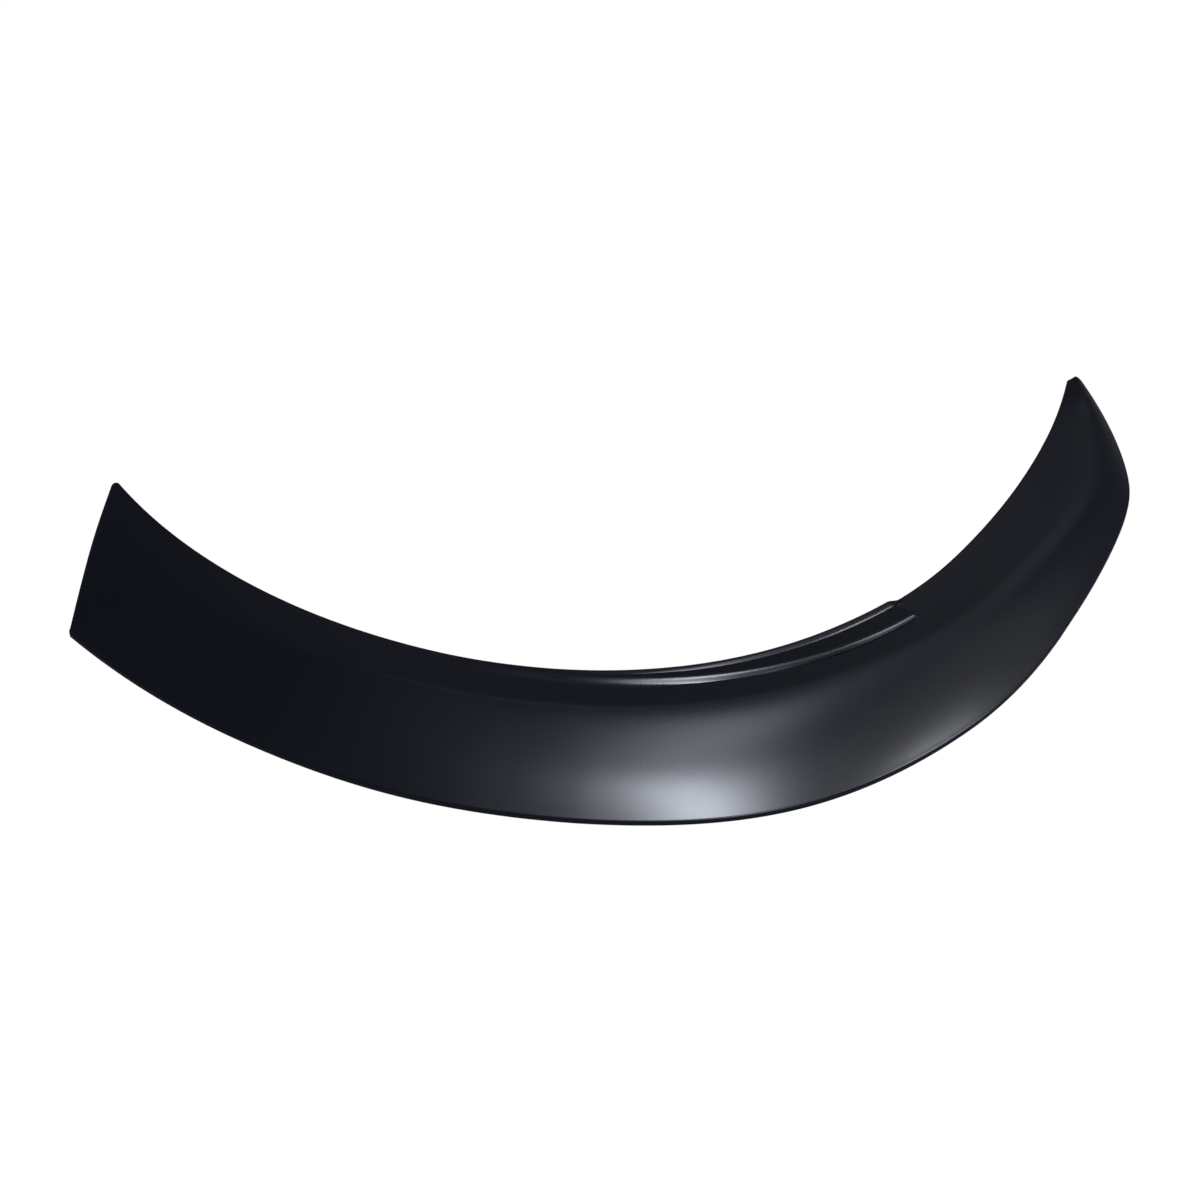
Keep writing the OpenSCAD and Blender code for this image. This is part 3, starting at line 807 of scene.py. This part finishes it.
camera_data = bpy.data.cameras.new("camera")
camera_data.lens = CAMERA_LENS
camera_data.sensor_width = CAMERA_SENSOR
camera = bpy.data.objects.new("camera", camera_data)
bpy.context.scene.collection.objects.link(camera)
camera.location = TARGET + CAMERA_AWAY * towards(0, CAMERA_UP)
camera.rotation_euler = (TARGET - camera.location).to_track_quat("-Z", "Y").to_euler()
bpy.context.scene.camera = camera


# Lamps: soft panels round the trim

LAMP_AWAY = 4.0
NEUTRAL = (1, 1, 1)
COOL = (0.84, 0.89, 1)


def panel(name, azimuth, elevation, wide, high, radiance, colour=NEUTRAL):
    """Soft lamp whose direction, width and height are given in degrees, as seen from the trim."""
    data = bpy.data.lights.new(name, "AREA")
    data.shape = "RECTANGLE"
    data.size = 2 * LAMP_AWAY * math.tan(math.radians(wide / 2))
    data.size_y = 2 * LAMP_AWAY * math.tan(math.radians(high / 2))
    data.energy = radiance * math.pi * data.size * data.size_y
    data.color = colour
    lamp = bpy.data.objects.new(name, data)
    bpy.context.scene.collection.objects.link(lamp)
    lamp.location = TARGET + LAMP_AWAY * towards(azimuth, elevation)
    lamp.rotation_euler = (TARGET - lamp.location).to_track_quat("-Z", "Y").to_euler()


# The three strips make the bright patch at the crown, side_low and lamp_right the light on the right
# shoulder and the ledge, and the lamp above and the two dim walls the soft light on the rest
panel("strip_high", 17.4, 60.3, 10.9, 21.2, 30, COOL)
panel("strip_middle", 11, 36.2, 10.2, 23.3, 7.9, COOL)
panel("strip_low", 20, 10.7, 13.7, 20, 7.8, COOL)
panel("side_low", 67, 19, 16.6, 32, 6.5, COOL)
panel("above", 80, 82, 24, 10.2, 6.4, COOL)
panel("right_wall", 72, 37, 61, 46, 0.36)
panel("back_wall", 153, 51, 44, 37, 0.29, COOL)
panel("lamp_right", 64, 34, 9, 9, 14)


# World: white to the camera, and to everything else a dim room that gets lighter to the right

ROOM_COLOUR = (0.9, 0.93, 1, 1)
ROOM_LEVEL = 0.085
ROOM_LEAN = (0.02, 0, 0)
world = bpy.data.worlds.new("world")
bpy.context.scene.world = world
world.use_nodes = True
nodes, links = world.node_tree.nodes, world.node_tree.links
nodes.clear()
world_out = nodes.new("ShaderNodeOutputWorld")
room = nodes.new("ShaderNodeBackground")
room.inputs["Color"].default_value = ROOM_COLOUR
way = nodes.new("ShaderNodeTexCoord")
lean = nodes.new("ShaderNodeVectorMath")
lean.operation = "DOT_PRODUCT"
lean.inputs[1].default_value = ROOM_LEAN
level = nodes.new("ShaderNodeMath")
level.operation = "ADD"
level.use_clamp = True
level.inputs[1].default_value = ROOM_LEVEL
links.new(way.outputs["Generated"], lean.inputs[0])
links.new(lean.outputs["Value"], level.inputs[0])
links.new(level.outputs["Value"], room.inputs["Strength"])
sky = nodes.new("ShaderNodeBackground")
sky.inputs["Color"].default_value = WHITE
seen = nodes.new("ShaderNodeLightPath")
pick = nodes.new("ShaderNodeMixShader")
links.new(seen.outputs["Is Camera Ray"], pick.inputs["Fac"])
links.new(room.outputs["Background"], pick.inputs[1])
links.new(sky.outputs["Background"], pick.inputs[2])
links.new(pick.outputs["Shader"], world_out.inputs["Surface"])

bpy.context.scene.view_settings.view_transform = "Standard"
